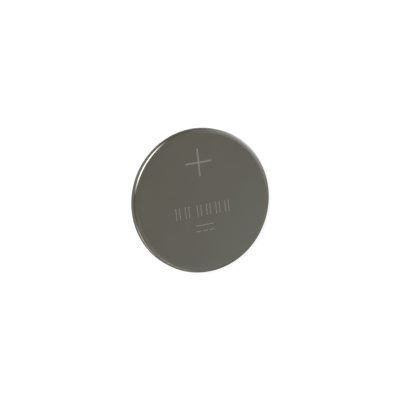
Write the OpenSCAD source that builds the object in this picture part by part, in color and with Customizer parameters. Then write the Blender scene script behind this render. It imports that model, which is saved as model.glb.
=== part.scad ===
// Lithium coin cell, lying on its negative cap with the positive face up.
// A drawn steel can is crimped over a stepped steel cap, with a moulded gasket
// between the two. The stack inside fills the height between cap and can.
// Every piece is a ring or a disc, so each is drawn as a half section,
// radius across and height up, and turned about Z.
// The origin is the centre of the negative contact face.

/* [Cell] */
// Diameter over the can
cell_d = 16; // [10:0.1:24]
// Height from the negative contact to the positive face
cell_h = 2; // [1.9:0.05:3.2]
// How far the negative contact stands proud of the crimp
contact_proud = 0.15; // [0.05:0.01:0.2]

/* [Positive can] */
// Sheet that the can is drawn from
can_t = 0.22; // [0.15:0.01:0.25]
// Outer radius of the corner between positive face and wall
can_corner_r = 0.6; // [0.4:0.05:0.7]
// Outer radius of the bend that turns the wall inwards
crimp_r = 0.6; // [0.5:0.02:0.64]
// How far the crimp turns the wall, in degrees
crimp_turn = 98; // [90:1:102]
// Open ring between the contact disc and the end of the lip
lip_gap = 0.4; // [0.3:0.01:0.5]

/* [Negative cap] */
// Sheet that the cap is pressed from
cap_t = 0.2; // [0.15:0.01:0.22]
// Width of the shoulder, from the contact disc to the outside of the skirt
shoulder_w = 0.98; // [0.85:0.01:1.3]
// Outer radius around the contact disc
contact_edge_r = 0.35; // [0.25:0.01:0.38]
// Outer radius where the shoulder turns up into the skirt
skirt_bend_r = 0.3; // [0.25:0.01:0.35]
// Inner radius of the bend between contact disc and shoulder
step_bend_r = 0.1; // [0.05:0.01:0.12]

/* [Sealing gasket] */
// Gasket between the skirt and the wall of the can
gasket_wall_t = 0.35; // [0.25:0.01:0.4]
// Gasket between the end of the skirt and the end of the can
gasket_base_t = 0.25; // [0.15:0.01:0.3]
// Gasket between the cap's shoulder and the lowest turn of the lip
gasket_foot_t = 0.22; // [0.16:0.01:0.26]
// Gasket inside the skirt
gasket_inner_t = 0.25; // [0.15:0.01:0.3]
// How far the inner wall of the gasket reaches down from its base
gasket_inner_h = 0.4; // [0.2:0.05:0.45]
// How far the foot of the gasket shows past the lip
gasket_show = 0.16; // [0.06:0.01:0.18]

/* [Electrodes] */
// Thickness of the lithium disc
lithium_t = 0.42; // [0.3:0.01:0.5]
// Gap between the edge of the lithium disc and the cap
lithium_gap = 0.45; // [0.2:0.05:0.8]
// Thickness of the separator sheet
separator_t = 0.12; // [0.05:0.01:0.15]
// Height of the separator's upturned edge
separator_rim = 0.5; // [0.2:0.05:0.6]
// Sheet of the cathode ring
ring_t = 0.1; // [0.06:0.01:0.12]
// Width of the ring's flange under the can
ring_flange = 0.9; // [0.4:0.1:1.5]
// Height of the ring's wall beside the pellet
ring_wall = 0.45; // [0.2:0.05:0.6]
// Side clearance between the dropped-in pieces
stack_clear = 0.04; // [0.02:0.01:0.06]

/* [Hidden] */
$fn = 180;
cell_r = cell_d / 2;

// Inside of the can and of its crimp
can_in_r = cell_r - can_t;
can_in_top = cell_h - can_t;
crimp_in_r = crimp_r - can_t;
crimp_at_r = cell_r - crimp_r;
crimp_at_z = contact_proud + crimp_r;
corner_at_r = cell_r - can_corner_r;
corner_at_z = cell_h - can_corner_r;

// Cap, from its contact disc out to its skirt
shoulder_z = contact_proud + can_t + gasket_foot_t;
skirt_r = can_in_r - gasket_wall_t;
skirt_in_r = skirt_r - cap_t;
skirt_top = can_in_top - gasket_base_t;
skirt_at_r = skirt_r - skirt_bend_r;
skirt_at_z = shoulder_z + skirt_bend_r;
contact_r = skirt_r - shoulder_w;
contact_flat_r = contact_r - contact_edge_r;
step_at_r = contact_r + step_bend_r;
step_at_z = shoulder_z - step_bend_r;

// Straight lip beyond the crimp's bend, and how far the gasket follows it
lip_end_r = contact_r + lip_gap;
lip_len = (crimp_at_r + crimp_in_r * cos(crimp_turn) - lip_end_r) / sin(crimp_turn);
gasket_foot_r = lip_end_r - gasket_show;
gasket_inner_r = skirt_in_r - gasket_inner_t;

// Stack, from the cap's inner floor up to the can's inner end
well_r = contact_r - cap_t;
lithium_r = well_r - lithium_gap;
separator_z = cap_t + lithium_t;
separator_r = well_r - stack_clear;
pellet_z = separator_z + separator_t;
ring_r = separator_r - separator_t - stack_clear;
pellet_r = ring_r - ring_t;
ring_wall_z = can_in_top - ring_wall;

// Part of a ring in the section, from angle a to angle b round its centre
module bend(r_in, r_out, a, b) {
    far = 2 * r_out;
    middle = (a + b) / 2;
    intersection() {
        difference() {
            circle(r = r_out);
            circle(r = r_in);
        }
        polygon([
            [0, 0],
            far * [cos(a), sin(a)],
            far * [cos(middle), sin(middle)],
            far * [cos(b), sin(b)]
        ]);
    }
}

// Rectangle in the section, from one corner to the opposite one
module band(r_from, z_from, r_to, z_to) {
    translate([r_from, z_from]) square([r_to - r_from, z_to - z_from]);
}

module can_section() {
    band(0, can_in_top, corner_at_r, cell_h);
    translate([corner_at_r, corner_at_z]) bend(can_corner_r - can_t, can_corner_r, 0, 90);
    band(can_in_r, crimp_at_z, cell_r, corner_at_z);
    translate([crimp_at_r, crimp_at_z]) {
        bend(crimp_in_r, crimp_r, -crimp_turn, 0);
        rotate(-crimp_turn) translate([crimp_in_r, -lip_len]) square([can_t, lip_len]);
    }
}

// Room inside the can, down to the inner side of the lip and on along its line
module can_room() {
    band(0, corner_at_z, corner_at_r, can_in_top);
    translate([corner_at_r, corner_at_z]) bend(0, can_corner_r - can_t, 0, 90);
    band(0, crimp_at_z, can_in_r, corner_at_z);
    translate([crimp_at_r, crimp_at_z]) {
        bend(0, crimp_in_r, -crimp_turn, 0);
        rotate(-crimp_turn) translate([0, -lip_len - gasket_show]) {
            square([crimp_in_r, lip_len + gasket_show]);
        }
    }
}

module cap_section() {
    band(0, 0, contact_flat_r, cap_t);
    translate([contact_flat_r, contact_edge_r]) {
        bend(contact_edge_r - cap_t, contact_edge_r, -90, 0);
    }
    band(well_r, contact_edge_r, contact_r, step_at_z);
    translate([step_at_r, step_at_z]) bend(step_bend_r, step_bend_r + cap_t, 90, 180);
    band(step_at_r, shoulder_z, skirt_at_r, shoulder_z + cap_t);
    translate([skirt_at_r, skirt_at_z]) bend(skirt_bend_r - cap_t, skirt_bend_r, -90, 0);
    band(skirt_in_r, skirt_at_z, skirt_r, skirt_top);
}

// Everything that the shoulder and the skirt of the cap keep the gasket out of
module cap_shadow() {
    band(0, shoulder_z, skirt_at_r, skirt_top);
    translate([skirt_at_r, skirt_at_z]) bend(0, skirt_bend_r, -90, 0);
    band(0, skirt_at_z, skirt_r, skirt_top);
}

module positive_can() {
    color("silver") rotate_extrude() can_section();
}

module negative_cap() {
    color("gainsboro") rotate_extrude() cap_section();
}

module sealing_gasket() {
    color("dimgray") rotate_extrude() {
        difference() {
            intersection() {
                can_room();
                band(gasket_foot_r, 0, cell_r, skirt_top);
            }
            cap_shadow();
        }
        intersection() {
            can_room();
            band(gasket_inner_r, skirt_top, cell_r, can_in_top);
        }
        band(gasket_inner_r, skirt_top - gasket_inner_h, skirt_in_r, skirt_top);
    }
}

module lithium_anode() {
    color("lightsteelblue") translate([0, 0, cap_t]) cylinder(r = lithium_r, h = lithium_t);
}

module separator() {
    color("white") rotate_extrude() {
        band(0, separator_z, separator_r, pellet_z);
        band(separator_r - separator_t, pellet_z, separator_r, pellet_z + separator_rim);
    }
}

module cathode_pellet() {
    color([0.12, 0.12, 0.12]) rotate_extrude() {
        band(0, pellet_z, pellet_r, can_in_top - ring_t);
        band(0, can_in_top - ring_t, pellet_r - ring_flange, can_in_top);
    }
}

module cathode_ring() {
    color("slategray") rotate_extrude() {
        band(pellet_r - ring_flange, can_in_top - ring_t, ring_r, can_in_top);
        band(pellet_r, ring_wall_z, ring_r, can_in_top - ring_t);
    }
}

positive_can();
negative_cap();
sealing_gasket();
lithium_anode();
separator();
cathode_pellet();
cathode_ring();
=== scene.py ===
import math

import bmesh
import bpy
from mathutils import Matrix, Vector


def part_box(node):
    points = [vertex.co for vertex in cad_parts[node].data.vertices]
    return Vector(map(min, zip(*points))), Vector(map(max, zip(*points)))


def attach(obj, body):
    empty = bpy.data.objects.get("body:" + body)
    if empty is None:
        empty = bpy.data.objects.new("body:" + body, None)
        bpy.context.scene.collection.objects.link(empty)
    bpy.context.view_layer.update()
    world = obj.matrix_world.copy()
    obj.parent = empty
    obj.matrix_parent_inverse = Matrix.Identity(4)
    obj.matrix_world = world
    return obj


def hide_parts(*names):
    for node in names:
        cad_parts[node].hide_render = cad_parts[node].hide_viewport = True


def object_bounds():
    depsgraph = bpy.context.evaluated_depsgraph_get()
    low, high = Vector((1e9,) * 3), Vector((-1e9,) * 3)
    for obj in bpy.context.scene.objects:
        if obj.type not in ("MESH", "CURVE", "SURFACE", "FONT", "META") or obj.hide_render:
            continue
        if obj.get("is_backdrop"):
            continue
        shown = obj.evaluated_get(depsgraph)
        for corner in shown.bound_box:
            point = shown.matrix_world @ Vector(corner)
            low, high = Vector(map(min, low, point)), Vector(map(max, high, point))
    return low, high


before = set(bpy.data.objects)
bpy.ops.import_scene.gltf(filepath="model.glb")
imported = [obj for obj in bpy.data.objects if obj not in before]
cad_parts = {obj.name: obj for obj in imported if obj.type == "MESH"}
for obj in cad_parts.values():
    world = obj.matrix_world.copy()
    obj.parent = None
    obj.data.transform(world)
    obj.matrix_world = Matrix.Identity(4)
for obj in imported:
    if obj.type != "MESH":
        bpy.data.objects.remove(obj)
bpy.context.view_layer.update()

# Negative cap: a stepped lid pressed from thin steel sheet and nickel plated. Its disc
# is the negative contact, the shoulder round the disc carries the gasket's foot, and
# the gasket is clipped over its turned-up skirt. Every piece is drawn in millimetres.
mm = 0.001
cap_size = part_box("negative_cap")[1] / mm
skirt_r = round(cap_size.x, 2)
skirt_top = round(cap_size.z, 2)
cap_t = 0.2
shoulder_w = 0.98
contact_r = skirt_r - shoulder_w
contact_edge_r = 0.35
shoulder_z = 0.59
step_bend_r = 0.1
skirt_bend_r = 0.3
cap_colour = (0.67, 0.655, 0.61)
cap_roughness = 0.22
square = math.pi / 2
round_sides = 256
bend_steps = 20
disc_inset = 0.06
weld_gap = 0.0001
edge_ease = 0.02
ease_steps = 4
sharp_from = math.radians(50)
smooth_up_to = math.radians(28)


def pick(kind, wanted):
    """In edit mode, selects the edges or faces whose corners are all wanted."""
    bpy.ops.mesh.select_mode(type=kind)
    bpy.ops.mesh.select_all(action="DESELECT")
    shape = bmesh.from_edit_mesh(bpy.context.object.data)
    for item in {"EDGE": shape.edges, "FACE": shape.faces}[kind]:
        item.select_set(all(wanted(corner.co) for corner in item.verts))
    bmesh.update_edit_mesh(bpy.context.object.data)


def on_ring(radius, height, slack=0.002):
    """Tells whether a place lies on the ring of this radius and height."""
    return lambda co: math.hypot(math.hypot(co.x, co.y) - radius, co.z - height) < slack


def draw_shell(name, rings, bends):
    """A round shell, drawn from ring to ring, with its bends rounded.

    A path of rings that ends where it began makes a closed ring. Any other path starts
    with a flat disc.
    """
    radius, height = rings[0]
    closed = rings[0] == rings[-1]
    bpy.ops.object.select_all(action="DESELECT")
    bpy.ops.mesh.primitive_circle_add(
        vertices=round_sides,
        radius=radius,
        fill_type="NOTHING" if closed else "NGON",
        location=(0, 0, height),
    )
    shell = bpy.context.object
    shell.name = shell.data.name = name
    bpy.ops.object.transform_apply(location=True)
    bpy.ops.object.mode_set(mode="EDIT")
    pick("EDGE", on_ring(radius, height))
    for next_radius, next_height in rings[1:]:
        bpy.ops.mesh.extrude_edges_move(
            TRANSFORM_OT_translate={"value": (0, 0, next_height - height)}
        )
        grow = next_radius / radius
        bpy.ops.transform.resize(value=(grow, grow, 1), center_override=(0, 0, 0))
        radius, height = next_radius, next_height
    bpy.ops.mesh.select_all(action="SELECT")
    bpy.ops.mesh.remove_doubles(threshold=weld_gap)
    for ring, bend_r, turn in bends:
        pick("EDGE", on_ring(*ring))
        bpy.ops.mesh.bevel(
            offset=bend_r * math.tan(turn / 2),
            segments=bend_steps,
            profile=0.5,
            affect="EDGES",
        )
    if not closed:
        pick("FACE", lambda co: abs(co.z - rings[0][1]) < weld_gap)
        bpy.ops.mesh.inset(thickness=disc_inset)
    bpy.ops.mesh.select_all(action="SELECT")
    bpy.ops.mesh.normals_make_consistent(inside=False)
    bpy.ops.object.mode_set(mode="OBJECT")
    return shell


def give_sheet(shell, thickness):
    """Gives a shell its sheet, measured inwards."""
    sheet = shell.modifiers.new("sheet", "SOLIDIFY")
    sheet.thickness = thickness
    sheet.offset = -1
    sheet.use_even_offset = True
    bpy.ops.object.modifier_apply(modifier=sheet.name)


def ease_edges(piece, radius):
    """Rounds off a piece's sharp edges."""
    easing = piece.modifiers.new("easing", "BEVEL")
    easing.width = radius
    easing.segments = ease_steps
    easing.limit_method = "ANGLE"
    easing.angle_limit = sharp_from
    bpy.ops.object.modifier_apply(modifier=easing.name)


def to_metres(piece):
    """Brings a finished piece from millimetres to metres, with its object at the origin."""
    bpy.ops.object.select_all(action="DESELECT")
    piece.select_set(True)
    bpy.context.view_layer.objects.active = piece
    piece.scale = (mm, mm, mm)
    bpy.ops.object.transform_apply(scale=True)
    bpy.ops.object.shade_smooth_by_angle(angle=smooth_up_to)


def give_place(piece, node):
    """Lets a piece stand for a node of the model, in the cell's one body."""
    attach(piece, "root")
    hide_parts(node)


cap = draw_shell(
    "cap",
    rings=[(contact_r, 0), (contact_r, shoulder_z), (skirt_r, shoulder_z), (skirt_r, skirt_top)],
    bends=[
        ((contact_r, 0), contact_edge_r, square),
        ((contact_r, shoulder_z), step_bend_r, square),
        ((skirt_r, shoulder_z), skirt_bend_r, square),
    ],
)
give_sheet(cap, cap_t)
ease_edges(cap, edge_ease)
to_metres(cap)


def material(name):
    """A new material and its Principled shader."""
    made = bpy.data.materials.new(name)
    made.use_nodes = True
    return made, made.node_tree.nodes["Principled BSDF"]


def feed(tree, given, socket):
    """Sets a socket to a number or a colour, or links another socket to it."""
    if isinstance(given, bpy.types.NodeSocket):
        tree.links.new(given, socket)
    else:
        socket.default_value = given


def sum_up(tree, operation, *values):
    """A Math node on numbers and sockets."""
    node = tree.nodes.new("ShaderNodeMath")
    node.operation = operation
    for place, given in enumerate(values):
        feed(tree, given, node.inputs[place])
    return node.outputs[0]


def remap(tree, value, low, high, to_low=0.0, to_high=1.0, smooth=False):
    """Maps a value's range from low to high on to a new one, with its ends held."""
    node = tree.nodes.new("ShaderNodeMapRange")
    node.interpolation_type = "SMOOTHSTEP" if smooth else "LINEAR"
    ends = {"From Min": low, "From Max": high, "To Min": to_low, "To Max": to_high}
    for name, given in ends.items():
        feed(tree, given, node.inputs[name])
    feed(tree, value, node.inputs["Value"])
    return node.outputs["Result"]


def speckle(tree, places, scale, detail=2.0, roughness=0.5):
    """A cloudy pattern over the places, from 0 to 1."""
    node = tree.nodes.new("ShaderNodeTexNoise")
    feed(tree, places, node.inputs["Vector"])
    feed(tree, scale, node.inputs["Scale"])
    feed(tree, detail, node.inputs["Detail"])
    feed(tree, roughness, node.inputs["Roughness"])
    return node.outputs["Fac"]


def along(tree, places, degrees, stretch):
    """Places turned about Z and stretched, for a pattern that has a direction."""
    node = tree.nodes.new("ShaderNodeMapping")
    node.inputs["Rotation"].default_value = (0, 0, math.radians(degrees))
    node.inputs["Scale"].default_value = stretch
    feed(tree, places, node.inputs["Vector"])
    return node.outputs["Vector"]


def vectors(tree, operation, *values):
    """A Vector Math node on vectors and sockets."""
    node = tree.nodes.new("ShaderNodeVectorMath")
    node.operation = operation
    for place, given in enumerate(values):
        feed(tree, given, node.inputs[place])
    return node


def add_up(tree, start, shares):
    """A start value, with a share of each pattern added to it."""
    for pattern, share in shares:
        start = sum_up(tree, "MULTIPLY_ADD", pattern, share, start)
    return start


def emboss(tree, shader, pattern, depth):
    """Raises a shader's surface by a pattern, to this depth in millimetres."""
    relief = tree.nodes.new("ShaderNodeBump")
    feed(tree, depth * mm, relief.inputs["Distance"])
    feed(tree, pattern, relief.inputs["Height"])
    feed(tree, relief.outputs["Normal"], shader.inputs["Normal"])


def new_group(name, inputs, outputs):
    """A shader node group, and the sockets at its two ends."""
    group = bpy.data.node_groups.new(name, "ShaderNodeTree")
    for socket, kind, default in inputs:
        made = group.interface.new_socket(socket, in_out="INPUT", socket_type=kind)
        if default is not None:
            made.default_value = default
    for socket in outputs:
        group.interface.new_socket(socket, in_out="OUTPUT", socket_type="NodeSocketFloat")
    start = group.nodes.new("NodeGroupInput").outputs
    end = group.nodes.new("NodeGroupOutput").inputs
    return group, start, end


# Finish of plated sheet, shared by every pressed piece: the rolling grain and faint
# clouds of the plate, fine hair scratches, and draw marks that run down the walls
# with small scuffs on the bend above them. Worked out in millimetres.
hair_w = 0.006
full_tone = 0.95
plate_relief = 0.0006
plated, plated_in, plated_out = new_group(
    "plated_sheet",
    inputs=[
        ("Places", "NodeSocketVector", None),
        ("Roughness", "NodeSocketFloat", 0.16),
        ("Scratches", "NodeSocketFloat", 1.0),
        ("Bend From", "NodeSocketFloat", 7.4),
        ("Bend To", "NodeSocketFloat", 8.0),
    ],
    outputs=["Tone", "Roughness", "Height"],
)
in_mm = vectors(plated, "MULTIPLY", plated_in["Places"], (1 / mm, 1 / mm, 1 / mm)).outputs[0]
outward = vectors(plated, "MULTIPLY", in_mm, (1, 1, 0)).outputs[0]
out_r = vectors(plated, "LENGTH", outward).outputs["Value"]
round_it = vectors(plated, "NORMALIZE", outward).outputs[0]

clouds = speckle(plated, in_mm, 0.35, detail=3)
grain = speckle(plated, along(plated, in_mm, 28, (0.6, 9, 1)), 2.2, detail=4, roughness=0.7)
peel = speckle(plated, in_mm, 1.6, detail=2)

hairs = 0.0
for angle, spread in ((17, 7.0), (-38, 9.0), (74, 8.0)):
    field = speckle(plated, along(plated, in_mm, angle, (0.13, spread, 1)), 0.5, detail=1)
    off_line = sum_up(plated, "ABSOLUTE", sum_up(plated, "SUBTRACT", field, 0.5))
    line = remap(plated, off_line, 0, hair_w, 1, 0)
    breaks = speckle(plated, along(plated, in_mm, angle, (0.3, 1.7, 1)), 0.6)
    line = sum_up(plated, "MULTIPLY", line, remap(plated, breaks, 0.56, 0.66))
    hairs = sum_up(plated, "MAXIMUM", hairs, line)
hairs = sum_up(plated, "MULTIPLY", hairs, plated_in["Scratches"])

down_wall = vectors(plated, "MULTIPLY", in_mm, (0, 0, 0.7)).outputs[0]
around_wall = vectors(plated, "MULTIPLY_ADD", round_it, (60, 60, 0), down_wall).outputs[0]
on_wall = remap(plated, out_r, plated_in["Bend From"], plated_in["Bend To"], smooth=True)
draw_lines = speckle(plated, around_wall, 1.0, detail=3, roughness=0.6)
draw_lines = sum_up(plated, "MULTIPLY", on_wall, draw_lines)
waves = sum_up(plated, "MULTIPLY", on_wall, speckle(plated, in_mm, 0.9, detail=1))
scuffs = remap(plated, speckle(plated, in_mm, 3.2, detail=3), 0.56, 0.68)
scuffs = sum_up(plated, "MULTIPLY", on_wall, scuffs)

tone = add_up(plated, full_tone, ((clouds, 0.06), (grain, 0.03), (scuffs, -0.06), (hairs, 0.05)))
feed(plated, tone, plated_out["Tone"])
cloudy = remap(plated, clouds, 0.3, 0.7, -0.02, 0.03)
rough = sum_up(plated, "ADD", plated_in["Roughness"], cloudy)
rough = sum_up(plated, "ADD", rough, remap(plated, grain, 0.3, 0.7, -0.02, 0.02))
rough = add_up(plated, rough, ((scuffs, 0.1), (hairs, 0.1)))
feed(plated, rough, plated_out["Roughness"])
height = add_up(plated, peel, ((grain, 0.12), (draw_lines, 1.0), (waves, 12.0), (hairs, -0.25)))
feed(plated, height, plated_out["Height"])


def plated_steel(name, colour, roughness, bend, scratches=1.0, metallic=1.0, nicks_and_glints=()):
    """Plated sheet in this colour, with draw marks outwards of the bend's two radii.

    Each nick has a place, a radius and how much paler it is painted: a spot of wear whose bright
    bare metal is a painted glint.
    """
    made, shader = material(name)
    tree = made.node_tree
    sheet = tree.nodes.new("ShaderNodeGroup")
    sheet.node_tree = plated
    places = tree.nodes.new("ShaderNodeTexCoord").outputs["Object"]
    feed(tree, places, sheet.inputs["Places"])
    feed(tree, roughness, sheet.inputs["Roughness"])
    feed(tree, scratches, sheet.inputs["Scratches"])
    feed(tree, bend[0], sheet.inputs["Bend From"])
    feed(tree, bend[1], sheet.inputs["Bend To"])
    tone = sheet.outputs["Tone"]
    # Each nick is a spot of wear painted paler, a painted glint of bright metal.
    for place, nick_r, glint_gain in nicks_and_glints:
        away = vectors(tree, "DISTANCE", places, [part * mm for part in place]).outputs["Value"]
        nick_glint = remap(tree, away, 0, nick_r * mm, 1, 0, smooth=True)
        tone = sum_up(tree, "MULTIPLY_ADD", nick_glint, glint_gain, tone)
    shade = vectors(tree, "MULTIPLY", colour, tone)
    feed(tree, shade.outputs[0], shader.inputs["Base Color"])
    feed(tree, sheet.outputs["Roughness"], shader.inputs["Roughness"])
    feed(tree, metallic, shader.inputs["Metallic"])
    emboss(tree, shader, sheet.outputs["Height"], plate_relief)
    return made


contact_edge = (contact_r - contact_edge_r, contact_r)
cap.data.materials.append(plated_steel("cap_plate", cap_colour, cap_roughness, contact_edge))
give_place(cap, "negative_cap")

# Sealing gasket: one ring moulded in dark polypropylene, clipped over the cap's skirt
# from above. Its wall lines the can, its inner wall holds the skirt, and its foot,
# squeezed between lip and shoulder, shows as a thin ring round the contact.
can_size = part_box("positive_can")[1] / mm
can_r = round(can_size.x, 1)
cell_h = round(can_size.z, 2)
can_t = 0.22
can_corner_r = 0.6
contact_proud = 0.15
crimp_r = 0.6
crimp_turn = math.radians(98)
crimp_z = contact_proud + crimp_r
room_r = can_r - can_t
room_top = cell_h - can_t
lip_rise = math.tan(crimp_turn - square)
gasket_show = 0.16
gasket_inner_t = 0.25
gasket_inner_h = 0.4
lip_gap = 0.4
lip_end_r = contact_r + lip_gap
foot_r = lip_end_r - gasket_show
foot_low = crimp_z - (crimp_r - can_t) * math.tan(crimp_turn / 2) + (room_r - foot_r) * lip_rise
gasket_inner_r = skirt_r - cap_t - gasket_inner_t
gasket_inner_low = skirt_top - gasket_inner_h
gasket_colour = (0.055, 0.056, 0.058)

foot_edge = (foot_r, foot_low)
crimp_inside = (room_r, foot_low - (room_r - foot_r) * lip_rise)
gasket = draw_shell(
    "gasket",
    rings=[
        foot_edge,
        (foot_r, shoulder_z),
        (skirt_r, shoulder_z),
        (skirt_r, skirt_top),
        (skirt_r - cap_t, skirt_top),
        (skirt_r - cap_t, gasket_inner_low),
        (gasket_inner_r, gasket_inner_low),
        (gasket_inner_r, room_top),
        (room_r, room_top),
        crimp_inside,
        foot_edge,
    ],
    bends=[
        ((skirt_r, shoulder_z), skirt_bend_r, square),
        ((room_r, room_top), can_corner_r - can_t, square),
        (crimp_inside, crimp_r - can_t, crimp_turn),
    ],
)
ease_edges(gasket, edge_ease)
to_metres(gasket)


def millimetres(tree):
    """The places on a piece, in millimetres."""
    places = tree.nodes.new("ShaderNodeTexCoord").outputs["Object"]
    return vectors(tree, "MULTIPLY", places, (1 / mm, 1 / mm, 1 / mm)).outputs[0]


moulded, shader = material("moulded_gasket")
tree = moulded.node_tree
places = millimetres(tree)
flow = speckle(tree, places, 0.8, detail=3)
shade = vectors(tree, "MULTIPLY", gasket_colour, remap(tree, flow, 0.3, 0.7, 0.85, 1.15))
feed(tree, shade.outputs[0], shader.inputs["Base Color"])
feed(tree, remap(tree, flow, 0.3, 0.7, 0.42, 0.55), shader.inputs["Roughness"])
emboss(tree, shader, speckle(tree, places, 9.0, detail=2), 0.002)
gasket.data.materials.append(moulded)
give_place(gasket, "sealing_gasket")

# Lithium anode: a soft disc punched from rolled lithium foil and pressed on to the
# inside of the cap. Its skin is dull silver, streaked by the rolls and clouded where
# it has tarnished. The sealed cell hides it.
lithium_colour = (0.66, 0.67, 0.69, 1)
tarnish_colour = (0.36, 0.35, 0.38, 1)


def dress(node, finish):
    """Gives a node of the model that stays in view its finish."""
    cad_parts[node].data.materials.clear()
    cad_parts[node].data.materials.append(finish)


lithium, shader = material("rolled_lithium")
tree = lithium.node_tree
places = millimetres(tree)
tarnish = speckle(tree, places, 0.5, detail=4, roughness=0.6)
rolled = speckle(tree, along(tree, places, 0, (0.4, 8, 1)), 1.5, detail=3)
skin = tree.nodes.new("ShaderNodeMix")
skin.data_type = "RGBA"
feed(tree, remap(tree, tarnish, 0.42, 0.7), skin.inputs["Factor"])
feed(tree, lithium_colour, skin.inputs["A"])
feed(tree, tarnish_colour, skin.inputs["B"])
feed(tree, skin.outputs["Result"], shader.inputs["Base Color"])
feed(tree, remap(tree, rolled, 0.3, 0.7, 0.36, 0.5), shader.inputs["Roughness"])
feed(tree, 0.9, shader.inputs["Metallic"])
emboss(tree, shader, rolled, 0.003)
dress("lithium_anode", lithium)

# Separator: a dish of white non-woven polypropylene felt, soaked with electrolyte. It
# lies on the lithium, with its rim turned up round the pellet, and keeps the two apart.
felt_colour = (0.88, 0.88, 0.85)
felt, shader = material("separator_felt")
tree = felt.node_tree
places = millimetres(tree)
fibres = 0.0
for angle in (12, 71, 133):
    strands = speckle(tree, along(tree, places, angle, (0.6, 7, 1)), 2.5, detail=3)
    fibres = sum_up(tree, "MAXIMUM", fibres, strands)
shade = vectors(tree, "MULTIPLY", felt_colour, remap(tree, fibres, 0.45, 0.7, 0.8, 1.0))
feed(tree, shade.outputs[0], shader.inputs["Base Color"])
feed(tree, 0.8, shader.inputs["Roughness"])
emboss(tree, shader, fibres, 0.02)
dress("separator", felt)

# Cathode pellet: manganese dioxide pressed into a tablet with carbon and a binder. It
# is nearly black, with a fine grain and small glints of carbon.
mix_colour = (0.035, 0.035, 0.037)
mix, shader = material("cathode_mix")
tree = mix.node_tree
places = millimetres(tree)
powder = speckle(tree, places, 9.0, detail=5, roughness=0.7)
glints = remap(tree, speckle(tree, places, 16.0, detail=2), 0.66, 0.74)
shade = vectors(tree, "MULTIPLY", mix_colour, remap(tree, powder, 0.3, 0.7, 0.6, 1.5))
feed(tree, shade.outputs[0], shader.inputs["Base Color"])
feed(tree, remap(tree, glints, 0, 1, 0.85, 0.4), shader.inputs["Roughness"])
emboss(tree, shader, powder, 0.02)
dress("cathode_pellet", mix)

# Cathode ring: a thin angle ring pressed from bright stainless sheet. It holds the edge
# of the pellet and carries its current to the can.
ring_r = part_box("cathode_ring")[1].x / mm
ring_colour = (0.6, 0.6, 0.6)
ring_roughness = 0.24
ring_bend = (ring_r - 0.2, ring_r)
dress("cathode_ring", plated_steel("ring_plate", ring_colour, ring_roughness, ring_bend))

# Positive can: a cup drawn from steel sheet and nickel plated. Filled and set over the
# cap, it is crimped: its lip turns in under the shoulder and squeezes the gasket. Its
# flat end is the positive face, rounded into the wall.
can_colour = (0.663, 0.662, 0.588)
can_roughness = 0.16
can_edge_ease = 0.03
crimp_corner = (can_r, crimp_z - crimp_r * math.tan(crimp_turn / 2))
lip_out_r = lip_end_r - can_t * math.sin(crimp_turn - square)
can = draw_shell(
    "can",
    rings=[
        (can_r, cell_h),
        crimp_corner,
        (lip_out_r, crimp_corner[1] + (can_r - lip_out_r) * lip_rise),
    ],
    bends=[((can_r, cell_h), can_corner_r, square), (crimp_corner, crimp_r, crimp_turn)],
)
give_sheet(can, can_t)
ease_edges(can, can_edge_ease)

# Marks on the positive face, sunk by the drawing punch: the plus sign of the pole, and
# plain strokes in two rows below it. The floor of each stroke is coined, so it is
# duller and paler than the plate round it.
plus_at = (-0.21, 4.41)
plus_arm = 1.53
plus_stroke = 0.19
plus_depth = 0.045
row_h = 1.3
row_y = -0.87
pairs = 6
pairs_before_gap = 2
pair_first = -3.22
pair_pitch = 1.1
pair_gap = 0.42
row_gap = 0.3
fine_stroke = 0.1
fine_depth = 0.02
bar_at = (-0.27, -2.85)
bar_w = 2.15
bar_gap = 0.64
dash_w = 0.55
stroke_slope = 0.3
marks_from_rim = 0.3
coined_colour = (0.68, 0.67, 0.63)
coined_roughness = 0.42
coined_metallic = 0.84


def punch(name, strokes, depth, slope):
    """A tool with one raised stroke for each centre and size, narrowing to its end."""
    faces = []
    for (x, y), (width, tall) in strokes:
        bpy.ops.object.select_all(action="DESELECT")
        bpy.ops.mesh.primitive_plane_add(size=1, location=(x, y, cell_h + depth))
        bpy.context.object.scale = (width, tall, 1)
        bpy.ops.object.transform_apply(location=True, scale=True)
        faces.append(bpy.context.object)
    for face in faces:
        face.select_set(True)
    bpy.ops.object.join()
    tool = bpy.context.object
    tool.name = name
    bpy.ops.object.mode_set(mode="EDIT")
    bpy.ops.mesh.select_all(action="SELECT")
    bpy.ops.mesh.remove_doubles(threshold=weld_gap)
    bpy.ops.mesh.extrude_region_move(TRANSFORM_OT_translate={"value": (0, 0, -depth)})
    bpy.ops.mesh.inset(thickness=slope, depth=0)
    bpy.ops.transform.translate(value=(0, 0, -depth))
    bpy.ops.mesh.select_all(action="SELECT")
    bpy.ops.mesh.normals_make_consistent(inside=False)
    bpy.ops.object.mode_set(mode="OBJECT")
    return tool


def press_in(piece, tool):
    """Sinks the tool's strokes into the piece."""
    bpy.ops.object.select_all(action="DESELECT")
    piece.select_set(True)
    bpy.context.view_layer.objects.active = piece
    sink = piece.modifiers.new("strokes", "BOOLEAN")
    sink.operation = "DIFFERENCE"
    sink.solver = "EXACT"
    sink.object = tool
    bpy.ops.object.modifier_apply(modifier=sink.name)
    bpy.data.objects.remove(tool)


arm = plus_arm - plus_stroke / 2
arm_mid = (plus_arm + plus_stroke / 2) / 2
plus = [(plus_at, (plus_stroke, plus_stroke))]
for side in (-1, 1):
    plus.append(((plus_at[0] + side * arm_mid, plus_at[1]), (arm, plus_stroke)))
    plus.append(((plus_at[0], plus_at[1] + side * arm_mid), (plus_stroke, arm)))
press_in(can, punch("plus_punch", plus, plus_depth, slope=plus_stroke * stroke_slope))

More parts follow.
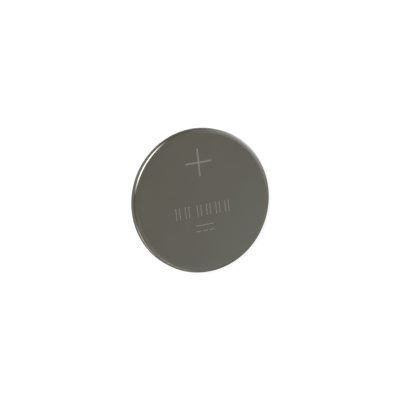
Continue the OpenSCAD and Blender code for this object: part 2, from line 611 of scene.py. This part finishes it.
row = [((bar_at[0], bar_at[1] + bar_gap / 2), (bar_w, fine_stroke))]
for place in range(pairs):
    pair_x = pair_first + pair_pitch * place + (row_gap if place >= pairs_before_gap else 0)
    for side in (-1, 1):
        row.append(((pair_x + side * pair_gap / 2, row_y), (fine_stroke, row_h)))
for side in (-1, 0, 1):
    dash_x = bar_at[0] + side * (bar_w - dash_w) / 2
    row.append(((dash_x, bar_at[1] - bar_gap / 2), (dash_w, fine_stroke)))
press_in(can, punch("row_punch", row, fine_depth, slope=fine_stroke * stroke_slope))
to_metres(can)

# The can's finish: plated sheet, with two small nicks of wear on the corner painted paler as a
# painted glint of bright metal, and the coined strokes, whose faces lie a little below the positive
# face.
corner = (can_r - can_corner_r, can_r)
nicks_and_glints = (
    ((-4.92, -6.06, 1.845), 0.2, 0.55),
    ((-5.39, -5.58, 1.88), 0.16, 0.2),
)
can.data.materials.append(plated_steel("can_plate", can_colour, can_roughness, corner, nicks_and_glints=nicks_and_glints))
coined = plated_steel(
    "coined_plate",
    coined_colour,
    coined_roughness,
    corner,
    scratches=0.0,
    metallic=coined_metallic,
)
can.data.materials.append(coined)
for face in can.data.polygons:
    depth = cell_h - face.center.z / mm
    out = math.hypot(face.center.x, face.center.y) / mm
    if fine_depth / 4 < depth < can_t / 2 and out < corner[0] - marks_from_rim:
        face.material_index = 1
give_place(can, "positive_can")

# Light table: the cell lies on a plain pale sheet with a little light of its own. From
# below, the sheet can be seen through.
table_w = 2
table_colour = (0.3, 0.3, 0.3, 1)
table_glow = 0.76
bpy.ops.object.select_all(action="DESELECT")
bpy.ops.mesh.primitive_plane_add(size=table_w, location=(0, 0, 0))
table = bpy.context.object
table.name = "light_table"
table.visible_diffuse = table.visible_glossy = False
table.visible_transmission = table.visible_shadow = False
table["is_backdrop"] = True
pale, shader = material("pale_sheet")
tree = pale.node_tree
shader.inputs["Base Color"].default_value = table_colour
shader.inputs["Roughness"].default_value = 0.9
shader.inputs["Specular IOR Level"].default_value = 0.0
shader.inputs["Emission Color"].default_value = (1, 1, 1, 1)
shader.inputs["Emission Strength"].default_value = table_glow
clear = tree.nodes.new("ShaderNodeBsdfTransparent")
which = tree.nodes.new("ShaderNodeMixShader")
feed(tree, tree.nodes.new("ShaderNodeNewGeometry").outputs["Backfacing"], which.inputs[0])
feed(tree, shader.outputs[0], which.inputs[1])
feed(tree, clear.outputs[0], which.inputs[2])
feed(tree, which.outputs[0], tree.nodes["Material Output"].inputs["Surface"])
table.data.materials.append(pale)

# Camera: it looks down on the cell from the left of the marks, a hand's breadth off,
# and is turned and shifted until the cell stands in the frame as it should.
view_distance = 122.43
view_tilt = math.radians(23.735)
view_turn = math.radians(151.29)
view_roll = math.radians(20.316)
view_shift = (-0.124, 0.047)
lean = Vector((math.cos(view_turn), math.sin(view_turn), 0))
across = Vector((math.sin(view_turn), -math.cos(view_turn), 0))
up = Vector((0, 0, 1))
to_camera = lean * math.sin(view_tilt) + up * math.cos(view_tilt)
downhill = lean * math.cos(view_tilt) - up * math.sin(view_tilt)
camera_right = across * math.sin(view_roll) - downhill * math.cos(view_roll)
camera_up = across * math.cos(view_roll) + downhill * math.sin(view_roll)
middle = up * (cell_h / 2) + camera_right * view_shift[0] + camera_up * view_shift[1]
camera_data = bpy.data.cameras.new("camera")
camera_data.lens = 100
camera_data.sensor_width = 36
camera_data.clip_start = 0.005
camera_data.clip_end = 10
camera = bpy.data.objects.new("camera", camera_data)
bpy.context.scene.collection.objects.link(camera)
aim = Matrix((camera_right, camera_up, to_camera)).transposed().to_4x4()
camera.matrix_world = Matrix.Translation((middle + to_camera * view_distance) * mm) @ aim
bpy.context.scene.camera = camera
bpy.context.scene.view_settings.view_transform = "Standard"

# Lamp: one soft disc beside the camera. It lights the table and the plastic, and the
# plate doesn't mirror it.
lamp_w = 0.2
lamp_power = 1.6
lamp_distance = 0.4
lamp_tilt = view_tilt * 1.3
lamp_data = bpy.data.lights.new("table_lamp", "AREA")
lamp_data.shape = "DISK"
lamp_data.size = lamp_w
lamp_data.energy = lamp_power
lamp = bpy.data.objects.new("table_lamp", lamp_data)
bpy.context.scene.collection.objects.link(lamp)
lamp_way = lean * math.sin(lamp_tilt) + up * math.cos(lamp_tilt)
lamp.location = lamp_way * lamp_distance
lamp.rotation_euler = lamp_way.to_track_quat("Z", "Y").to_euler()
lamp.visible_glossy = False
lamp.visible_camera = False

# Reflectors: two bright strips, bent round the cell on a clear sheet on the table, that
# only the plate sees. The wide one gives the can's corner its crescent of light, and the
# narrow one the fine line beside it.
clear_w = 0.04
clear_lift = 0.01
strip_feather = 0.2
strip_colour = (0.97, 1, 1.04, 1)


def polar(tree, places):
    """Azimuth from the camera's side of the cell, and the place in its three parts."""
    parts = tree.nodes.new("ShaderNodeSeparateXYZ")
    feed(tree, along(tree, places, -math.degrees(view_turn), (1, 1, 1)), parts.inputs[0])
    return sum_up(tree, "ARCTAN2", parts.outputs["Y"], parts.outputs["X"]), parts.outputs


def soft_band(tree, value, low, high, feather):
    """One between two edges and nothing outside them, with soft edges."""
    rise = remap(tree, value, low - feather, low + feather, smooth=True)
    fall = remap(tree, value, high - feather, high + feather, 1, 0, smooth=True)
    return sum_up(tree, "MULTIPLY", rise, fall)


def soft_sector(tree, azimuth, middle, half_width, feather):
    """One within this many degrees of a middle azimuth, with soft edges."""
    aside = sum_up(tree, "SUBTRACT", azimuth, math.radians(middle))
    aside = sum_up(tree, "ABSOLUTE", sum_up(tree, "WRAP", aside, math.pi, -math.pi))
    return soft_band(tree, aside, -math.pi, math.radians(half_width), math.radians(feather))


bpy.ops.object.select_all(action="DESELECT")
bpy.ops.mesh.primitive_plane_add(size=clear_w, location=(0, 0, clear_lift * mm))
reflector = bpy.context.object
reflector.name = "reflector"
reflector.visible_camera = reflector.visible_diffuse = False
reflector.visible_transmission = reflector.visible_shadow = False
reflector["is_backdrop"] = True
strip = bpy.data.materials.new("bright_strip")
strip.use_nodes = True
tree = strip.node_tree
tree.nodes.remove(tree.nodes["Principled BSDF"])
places = tree.nodes.new("ShaderNodeTexCoord").outputs["Object"]
azimuth, parts = polar(tree, places)
flat_place = vectors(tree, "MULTIPLY", places, (1, 1, 0)).outputs[0]
out_r = vectors(tree, "LENGTH", flat_place).outputs["Value"]
shine = 0.0
for near, far, middle_at, half_width, feather, strength in (
    (9.05, 13.0, -12, 17.5, 12, 2.2),
    (8.7, 10.05, 56.5, 12.5, 6, 0.53),
):
    mask = sum_up(
        tree,
        "MULTIPLY",
        soft_band(tree, out_r, near * mm, far * mm, strip_feather * mm),
        soft_sector(tree, azimuth, middle_at, half_width, feather),
    )
    shine = sum_up(tree, "MULTIPLY_ADD", mask, strength, shine)
glow = tree.nodes.new("ShaderNodeEmission")
glow.inputs["Color"].default_value = strip_colour
feed(tree, shine, glow.inputs["Strength"])
with_room = tree.nodes.new("ShaderNodeAddShader")
feed(tree, tree.nodes.new("ShaderNodeBsdfTransparent").outputs[0], with_room.inputs[0])
feed(tree, glow.outputs[0], with_room.inputs[1])
feed(tree, with_room.outputs[0], tree.nodes["Material Output"].inputs["Surface"])
reflector.data.materials.append(strip)

# Room: a dim warm room with soft cards, some lighter and some darker than its walls, is
# what the bright plate mirrors. Each card has a middle azimuth, half a width, a low and
# a high edge and a feather in degrees. The camera itself sees a plain pale room.
world = bpy.data.worlds.new("studio")
bpy.context.scene.world = world
world.use_nodes = True
sky = world.node_tree
sky.nodes.clear()
azimuth, parts = polar(sky, sky.nodes.new("ShaderNodeTexCoord").outputs["Generated"])
elevation = sum_up(sky, "ARCSINE", parts["Z"])
room = (0.135, 0.13, 0.116)
for middle_at, half_width, low, high, feather, light in (
    (0, 200, -14, 100, 6, (0.034, 0.032, 0.028)),
    (20, 85, -100, -63, 5, (0.07, 0.072, 0.08)),
    (30, 22, -50, -12, 8, (-0.02, -0.02, -0.015)),
    (-68, 14, -62, -15, 8, (-0.02, -0.018, -0.01)),
    (-92, 14, -16, 24, 6, (0.066, 0.068, 0.076)),
    (-127, 20, -60, 10, 18, (0.28, 0.29, 0.33)),
    (-131, 10, -34, 6, 8, (0.2, 0.21, 0.24)),
    (-130, 27, -20, 54, 14, (0.116, 0.12, 0.137)),
    (-150, 16, 30, 60, 8, (0.058, 0.06, 0.068)),
    (88, 34, -64, -28, 9, (0.08, 0.083, 0.095)),
    (85, 36, -15, 60, 10, (0.033, 0.034, 0.039)),
    (108, 22, -20, 32, 12, (0.084, 0.087, 0.1)),
    (156, 20, 0, 45, 8, (-0.035, -0.035, -0.035)),
    (160, 27, -10, 64.8, 2.5, (0.046, 0.052, 0.072)),
    (-172, 30, -15, 38, 12, (0.036, 0.037, 0.042)),
):
    mask = sum_up(
        sky,
        "MULTIPLY",
        soft_sector(sky, azimuth, middle_at, half_width, feather),
        soft_band(sky, elevation, *(math.radians(edge) for edge in (low, high, feather))),
    )
    room = vectors(sky, "MULTIPLY_ADD", mask, light, room).outputs[0]
mirrored = sky.nodes.new("ShaderNodeBackground")
feed(sky, room, mirrored.inputs["Color"])
plain = sky.nodes.new("ShaderNodeBackground")
plain.inputs["Color"].default_value = (1, 1, 1, 1)
choose = sky.nodes.new("ShaderNodeMixShader")
feed(sky, sky.nodes.new("ShaderNodeLightPath").outputs["Is Camera Ray"], choose.inputs["Fac"])
feed(sky, mirrored.outputs[0], choose.inputs[1])
feed(sky, plain.outputs[0], choose.inputs[2])
feed(sky, choose.outputs[0], sky.nodes.new("ShaderNodeOutputWorld").inputs["Surface"])

low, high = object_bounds()
